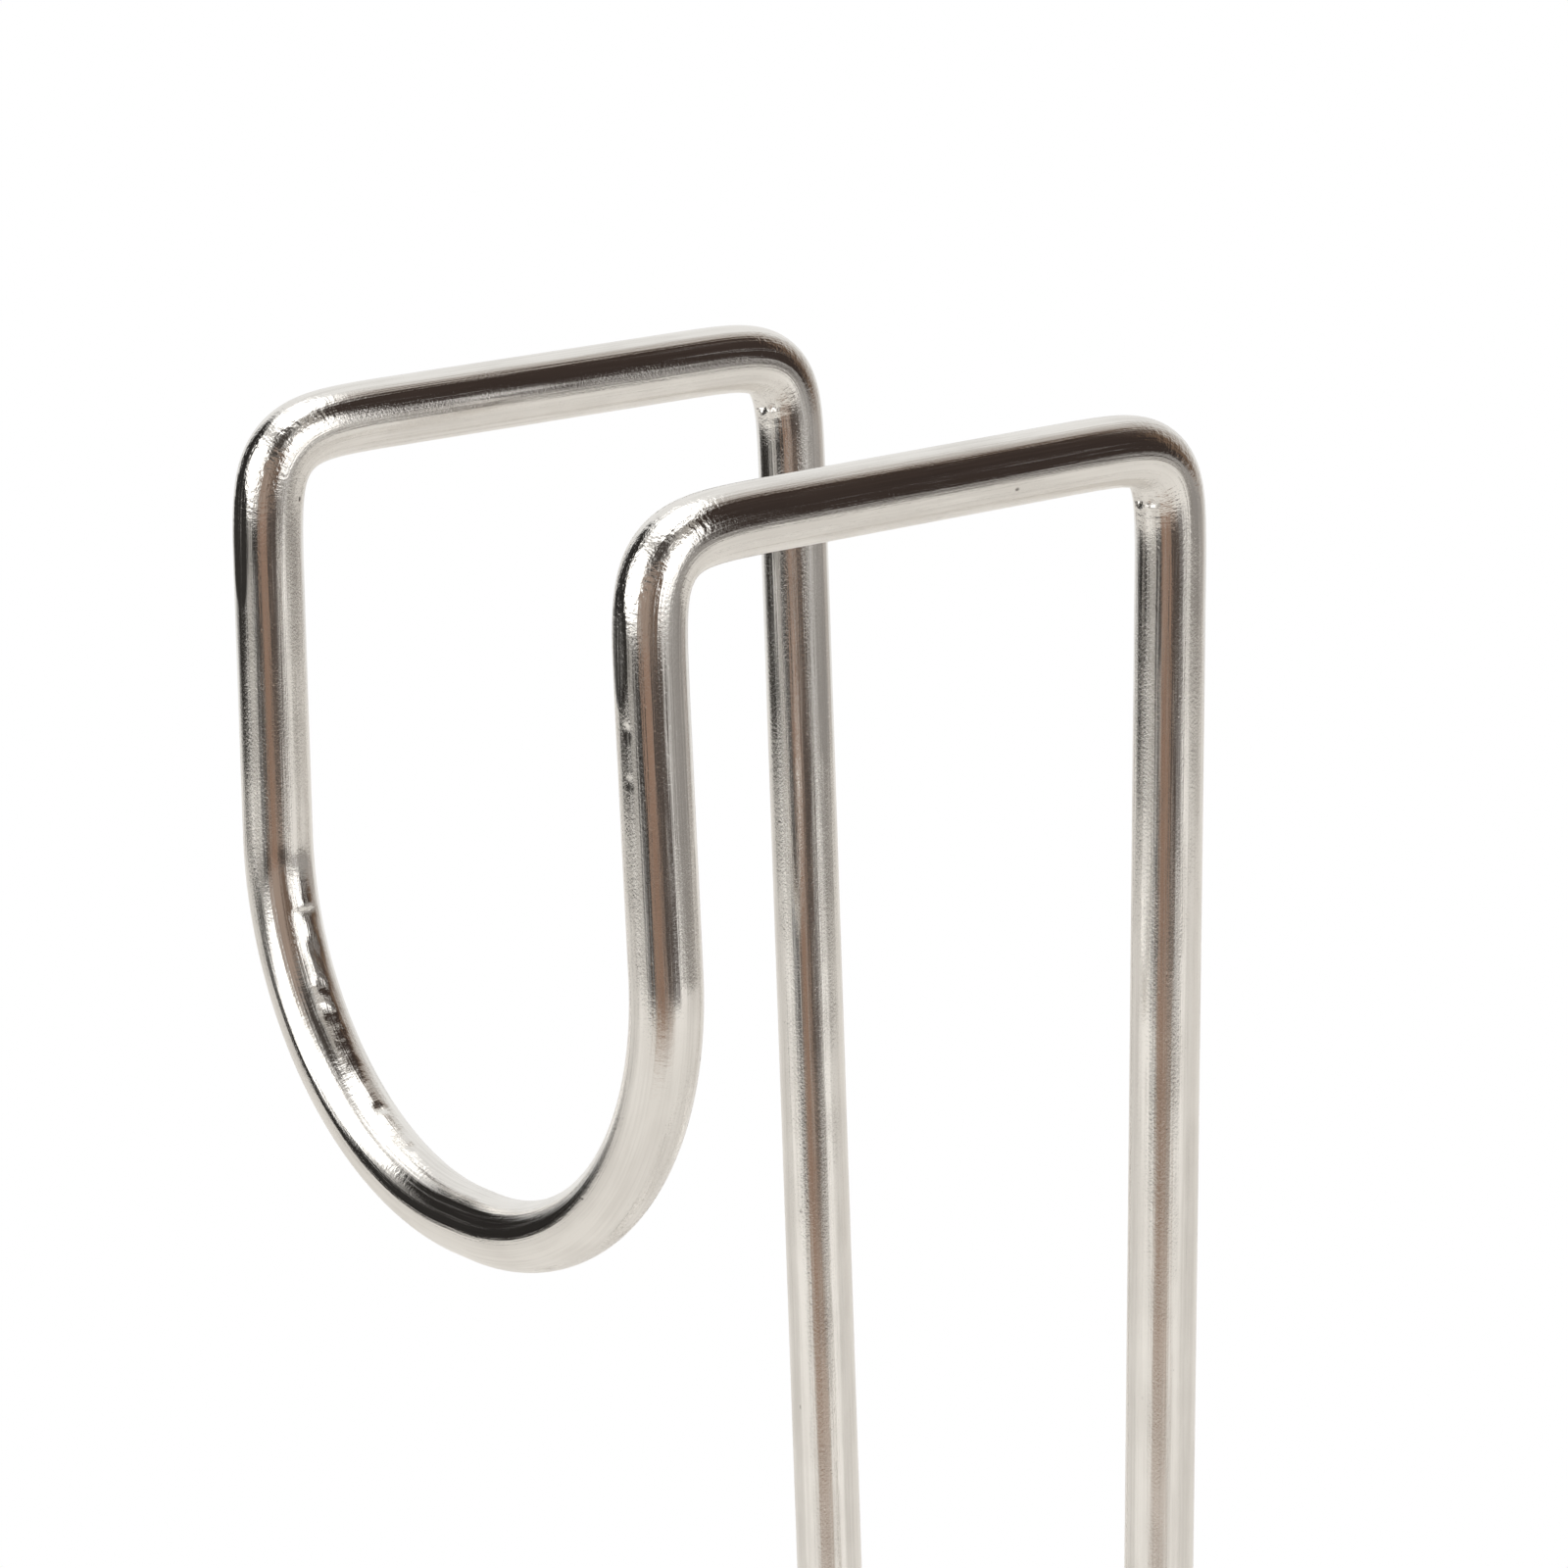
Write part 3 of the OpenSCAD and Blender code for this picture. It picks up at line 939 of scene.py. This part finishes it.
class BAG_OT_welds(bpy.types.Operator):
    """Lay the welds of the ring, the leg tie and the lift tab"""

    bl_idname = "bag_holder.welds"
    bl_label = "Welds"

    def execute(self, context):
        sides = context.scene.fineness.sides
        self.lay(self.bead_around_wire(sides), "ring_butt_weld", HANGER)
        for side in ("left", "right"):
            for crossing in ("ring", "tie"):
                node = f"{side}_{crossing}_weld"
                self.lay(self.nugget(node), node, HANGER)
            node = f"{side}_tab_weld"
            self.lay(self.collar(node, sides), node, CLAMP)
        return {"FINISHED"}

    def lay(self, bm, node, body):
        """Roughens weld metal and puts it in its node's place."""
        make_lumpy(bm, WELD_UNEVEN, WELD_LUMP)
        stand_for(bm, "_laid", node, body, WELD_FINISH)

    def bead_around_wire(self, sides):
        """Bead around the joint of the bag ring."""
        size = node_size("ring_butt_weld")
        inner = WIRE_D / 2 - size.x * BEAD_SINK
        outline = arc((inner, 0), size.z / 2 - inner, size.x / 2, *BEAD_ROUND)
        bm = turned(list(outline), sides * 2, closed=True)
        at = standing(node_middle("ring_butt_weld"), ACROSS)
        bmesh.ops.transform(bm, verts=bm.verts, matrix=at)
        return bm

    def nugget(self, node):
        """Metal squeezed out between a leg and the wire that crosses it."""
        bm = bmesh.new()
        half = node_size(node) / 2
        place = Matrix.Translation(node_middle(node)) @ Matrix.Diagonal((*half, 1))
        bmesh.ops.create_icosphere(bm, subdivisions=NUGGET_FINENESS, radius=1, matrix=place)
        return bm

    def collar(self, node, sides):
        """Collar around a foot of the lift tab."""
        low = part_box(node)[0]
        size, middle = node_size(node), node_middle(node)
        reach = size.y
        foot_r = TAB_D / 2
        wide = size.x / 2
        inner = foot_r * COLLAR_BORE
        flare = wide + foot_r * COLLAR_FLARE
        fillet = arc((flare, reach), flare - foot_r, reach * COLLAR_FILLET, *FILLET_ROUND)
        fillet = [(min(radius, wide), height) for radius, height in fillet]
        profile = [(inner, 0), (wide, 0), *reversed(fillet), (inner, reach)]
        bm = turned(profile, sides, closed=True)
        foot = Vector((middle.x, low.y, middle.z))
        bmesh.ops.transform(bm, verts=bm.verts, matrix=standing(foot, Vector((0, 1, 0))))
        return bm


# Studio


def toward(azimuth, elevation):
    """Unit vector towards a side and height, where azimuth 0 is the side of the hanging loop."""
    level = math.cos(elevation)
    return Vector((math.sin(azimuth) * level, -math.cos(azimuth) * level, math.sin(elevation)))


# What stands around the holder: name, azimuth, elevation, half width, half height, softness of the
# sides and of the top and bottom in degrees, and the light that it sends
SURROUNDINGS = (
    ("pale wall", -125, 20, 60, 50, 14, 10, (0.88, 0.87, 0.845)),
    ("grey wall", 180, 20, 16, 55, 10, 10, (0.52, 0.48, 0.44)),
    ("grey wall high up", 104, 50, 13, 14, 7, 6, (0.42, 0.39, 0.35)),
    ("brown cupboard", 158, 25, 14, 33, 6, 6, (0.17, 0.115, 0.08)),
    ("dark doorway", 135, 27, 15, 35, 5, 5, (0.045, 0.033, 0.028)),
    ("dark shelf", 150, 48, 13, 12, 6, 6, (0.05, 0.036, 0.03)),
    ("dark stand", -64, 16, 21, 30, 6, 5, (0.026, 0.024, 0.022)),
    ("foot of the stand", -44, -2, 12, 12, 4, 4, (0.03, 0.028, 0.026)),
    ("large softbox", -11, 21, 22.5, 27, 4, 3, (2.0, 1.97, 1.9)),
    ("brown panel", 40, 5, 20, 24, 10, 10, (0.37, 0.285, 0.23)),
    ("dark brown panel", 68, 2, 13, 22, 8, 8, (0.17, 0.118, 0.088)),
    ("dark room", 50, 44, 17, 19, 9, 9, (0.07, 0.06, 0.053)),
    ("side softbox", 99.5, 13, 17, 20, 4, 5, (2.0, 1.96, 1.9)),
    ("pale skirt", 104, -13, 13, 7, 5, 4, (0.55, 0.53, 0.505)),
)

# Painted reflections and painted shade in the floor's colour, which only bright metal mirrors: dark,
# brown and grey patches that stand in for the surroundings mirrored in a glossy table and for the shade
# that falls on it, in the far floor and beyond its edge. Each has its name, azimuth, half width and
# softness in degrees, the distances on the floor between which it grows, and its colour
PAINTED_FLOOR_REFLECTIONS = (
    ("warm side", 48, 26, 9, 0.24, 0.60, (0.55, 0.45, 0.385)),
    ("gap on the left", -44, 28, 6, 0.78, 0.92, (0.036, 0.033, 0.03)),
    ("front", -9, 15, 7, 0.66, 0.84, (0.34, 0.325, 0.30)),
    ("back", 142, 27, 8, 0.76, 0.96, (0.30, 0.28, 0.26)),
    ("dark side", 14, 14, 5, 0.55, 0.74, (0.03, 0.026, 0.023)),
    ("shaded side", 76, 24, 5, 0.54, 0.76, (0.085, 0.068, 0.059)),
    ("brown side", 40, 12, 6, 0.36, 0.74, (0.31, 0.20, 0.145)),
)

# Elevation, half height and softness of the band that carries the same shades beyond the floor's edge
FLOOR_SHADE_BAND = (-16, 6, 2)

# Light from where nothing stands
HORIZON = (0.62, 0.60, 0.57)

# Round lamp under the ceiling: its light, the side and height that it hangs at, and the angles at which
# it fades out
CEILING_LAMP = (1.85, 1.83, 1.78)
CEILING_LAMP_AT = (math.radians(-75), math.radians(83))
CEILING_LAMP_EDGE = (math.radians(32), math.radians(22))


def dot_with(tree, vector, axis):
    made = new_node(
        tree, "ShaderNodeVectorMath", operation="DOT_PRODUCT", inputs={0: vector, 1: axis}
    )
    return made.outputs["Value"]


def within(tree, across, ahead, half, softness):
    """Mask of what lies within an angle of straight ahead, with a soft edge."""
    offset = math_node(tree, "ABSOLUTE", math_node(tree, "ARCTAN2", across, ahead))
    return ramp_between(tree, offset, half + softness, half - softness)


def window_mask(tree, view, azimuth, elevation, half_w, half_h, side_soft, end_soft):
    """Mask of a soft-edged rectangle of the surroundings, seen from the holder."""
    across = toward(azimuth + QUARTER_TURN, 0)
    above = toward(azimuth, elevation + QUARTER_TURN)
    ahead = dot_with(tree, view, toward(azimuth, elevation))
    width = within(tree, dot_with(tree, view, across), ahead, half_w, side_soft)
    height = within(tree, dot_with(tree, view, above), ahead, half_h, end_soft)
    return math_node(tree, "MULTIPLY", width, height)


def build_world(scene):
    """Studio surroundings that light the holder and show in its bright wire; the camera sees white."""
    world = bpy.data.worlds.new("studio")
    scene.world = world
    world.use_nodes = True
    tree = world.node_tree
    tree.nodes.clear()
    view = new_node(tree, "ShaderNodeTexCoord").outputs["Generated"]
    overhead = dot_with(tree, view, toward(*CEILING_LAMP_AT))
    lamp = ramp_between(tree, overhead, *[math.cos(edge) for edge in CEILING_LAMP_EDGE])
    light = rgba(HORIZON)
    height, half_h, end_soft = FLOOR_SHADE_BAND
    above_floor = [
        (name, azimuth, height, half_w, half_h, side_soft, end_soft, shade)
        for name, azimuth, half_w, side_soft, _, _, shade in PAINTED_FLOOR_REFLECTIONS
    ]
    for _, *spread, shown in (*SURROUNDINGS, *above_floor):
        mask = window_mask(tree, view, *[math.radians(v) for v in spread])
        light = mix_colour(tree, mask, light, rgba(shown))
    light = mix_colour(tree, lamp, light, rgba(CEILING_LAMP))
    surroundings = new_node(tree, "ShaderNodeBackground", inputs={"Color": light}).outputs[0]
    white = new_node(tree, "ShaderNodeBackground", inputs={"Color": (1, 1, 1, 1)}).outputs[0]
    seen = new_node(tree, "ShaderNodeLightPath").outputs["Is Camera Ray"]
    shown = new_node(tree, "ShaderNodeMixShader", inputs={0: seen, 1: surroundings, 2: white})
    output = tree.nodes.new("ShaderNodeOutputWorld")
    tree.links.new(shown.outputs[0], output.inputs["Surface"])


# Floor: its radius and sides, the light that lifts it for the camera, the distances between which it
# turns white, its mottling, and the sheen and colour that bright metal mirrors, which is a painted paler
# copy of the floor's own colour
FLOOR_RADIUS = 0.95
FLOOR_SIDES = 96
FLOOR_LIFT = 0.3
FLOOR_WHITENS = (0.22, 0.42)
MOTTLE_SCALE = 6.0
MOTTLE_DARKER = 0.985
MOTTLE_LEVELS = (0.3, 0.7)
FLOOR_ROUGHNESS = (0.26, 0.3)
FLOOR_SHEEN = 0.12
# Painted light: a paler copy of the floor's colour that only bright metal mirrors
MIRRORED_FLOOR = (0.925, 0.91, 0.882)

# Camera: the width of its sensor in millimetres, and the nearest that it sees
SENSOR_W = 36
CLIP_START = 0.01


def build_floor(finishes):
    """Round pale floor under the holder, which turns white towards its edge and keeps the shadow.

    Bright metal mirrors its sheen, and a paler copy of its colour with painted reflections and painted
    shade.
    """
    bm = bmesh.new()
    place = Matrix.Translation((0, 0, CAD_BOX[0].z))
    bmesh.ops.create_circle(bm, cap_ends=True, segments=FLOOR_SIDES, radius=FLOOR_RADIUS, matrix=place)
    floor = finish_mesh(bm, "studio_floor", smooth=False)
    material, tree, board = new_material("studio_floor")
    where = new_node(tree, "ShaderNodeTexCoord").outputs["Object"]
    level = {0: where, 1: (1, 1, 0)}
    flat = new_node(tree, "ShaderNodeVectorMath", operation="MULTIPLY", inputs=level).outputs[0]
    reach = new_node(tree, "ShaderNodeVectorMath", operation="LENGTH", inputs={0: flat})
    reach = reach.outputs["Value"]
    rays = new_node(tree, "ShaderNodeLightPath").outputs
    mottle = noise_node(tree, where, MOTTLE_SCALE)
    darker = [c * MOTTLE_DARKER for c in finishes.floor]
    paint = mix_colour(tree, mottle, rgba(finishes.floor), rgba(darker))
    painted_reflection = rgba(MIRRORED_FLOOR)
    # Painted reflections and painted shade: the floor's colour as bright metal mirrors it is darkened
    # and tinted by side and distance
    for _, azimuth, half_w, side_soft, near, far, shade in PAINTED_FLOOR_REFLECTIONS:
        side = math.radians(azimuth)
        across = dot_with(tree, flat, toward(side + QUARTER_TURN, 0))
        ahead = dot_with(tree, flat, toward(side, 0))
        width = within(tree, across, ahead, math.radians(half_w), math.radians(side_soft))
        mask = math_node(tree, "MULTIPLY", width, ramp_between(tree, reach, near, far))
        painted_reflection = mix_colour(tree, mask, painted_reflection, rgba(shade))
    tree.links.new(painted_reflection, board.inputs["Base Color"])
    board.inputs["Specular IOR Level"].default_value = FLOOR_SHEEN
    rough = ramp_between(tree, mottle, *MOTTLE_LEVELS, *FLOOR_ROUGHNESS)
    tree.links.new(rough, board.inputs["Roughness"])
    matt = new_node(tree, "ShaderNodeBsdfDiffuse", inputs={"Color": paint}).outputs[0]
    lift = math_node(tree, "MULTIPLY", rays["Is Camera Ray"], FLOOR_LIFT)
    glow = new_node(tree, "ShaderNodeEmission", inputs={"Strength": lift}).outputs[0]
    lifted = new_node(tree, "ShaderNodeAddShader", inputs={0: matt, 1: glow}).outputs[0]
    white = new_node(tree, "ShaderNodeEmission", inputs={"Strength": 1.0}).outputs[0]
    whitened = ramp_between(tree, reach, *FLOOR_WHITENS)
    whitened = math_node(tree, "MULTIPLY", whitened, rays["Is Camera Ray"])
    seen = new_node(tree, "ShaderNodeMixShader", inputs={0: whitened, 1: lifted, 2: white}).outputs[0]
    mirrored_or_seen = {0: rays["Is Glossy Ray"], 1: seen, 2: board.outputs[0]}
    shown = new_node(tree, "ShaderNodeMixShader", inputs=mirrored_or_seen)
    tree.links.new(shown.outputs[0], tree.nodes["Material Output"].inputs["Surface"])
    floor.data.materials.append(material)


def build_camera(scene, studio):
    """Camera at the photographed viewing angle."""
    back = toward(studio.azimuth, studio.elevation)
    across = toward(studio.azimuth + QUARTER_TURN, 0)
    above = back.cross(across)
    spin = Matrix.Rotation(studio.roll, 3, back)
    across, above = spin @ across, spin @ above
    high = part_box("hanger_wire")[1]
    rear_bar = Vector((0, high.y - WIRE_D / 2, high.z - WIRE_D / 2))
    aim = rear_bar + across * studio.aim_right + above * studio.aim_up
    lens = bpy.data.cameras.new("studio_camera")
    lens.sensor_width = SENSOR_W
    lens.lens = studio.lens
    lens.clip_start = CLIP_START
    camera = bpy.data.objects.new("studio_camera", lens)
    facing = Matrix((across, above, back)).transposed().to_4x4()
    camera.matrix_world = Matrix.Translation(aim + back * studio.distance) @ facing
    scene.collection.objects.link(camera)
    scene.camera = camera


class BAG_OT_stage(bpy.types.Operator):
    """Set up the floor, the surroundings and the camera"""

    bl_idname = "bag_holder.stage"
    bl_label = "Studio"

    def execute(self, context):
        scene = context.scene
        scene.view_settings.view_transform = "Standard"
        build_world(scene)
        build_floor(scene.finishes)
        build_camera(scene, scene.studio)
        return {"FINISHED"}


class BAG_PT_panel(bpy.types.Panel):
    """Sizes and colours of the holder, and a button for each piece"""

    bl_idname = "BAG_PT_panel"
    bl_label = "Bag holder"
    bl_space_type = "VIEW_3D"
    bl_region_type = "UI"
    bl_category = "Bag holder"

    def draw(self, context):
        for name in SETTINGS:
            box = self.layout.box()
            settings = getattr(context.scene, name)
            for key in settings.__annotations__:
                box.prop(settings, key)
        for operator in PIECES:
            self.layout.operator(operator.bl_idname)


PIECES = (
    BAG_OT_hanger,
    BAG_OT_bag_ring,
    BAG_OT_clamp_ring,
    BAG_OT_lift_tab,
    BAG_OT_leg_tie,
    BAG_OT_leg_caps,
    BAG_OT_welds,
    BAG_OT_stage,
)


def register():
    for cls in (*SETTINGS.values(), *PIECES, BAG_PT_panel):
        bpy.utils.register_class(cls)
    for name, group in SETTINGS.items():
        setattr(bpy.types.Scene, name, PointerProperty(type=group))


def unregister():
    for name in SETTINGS:
        delattr(bpy.types.Scene, name)
    for cls in reversed((*SETTINGS.values(), *PIECES, BAG_PT_panel)):
        bpy.utils.unregister_class(cls)


def main():
    register()
    make_materials()
    for operator in PIECES:
        group, name = operator.bl_idname.split(".")
        getattr(getattr(bpy.ops, group), name)()


if __name__ == "__main__":
    main()
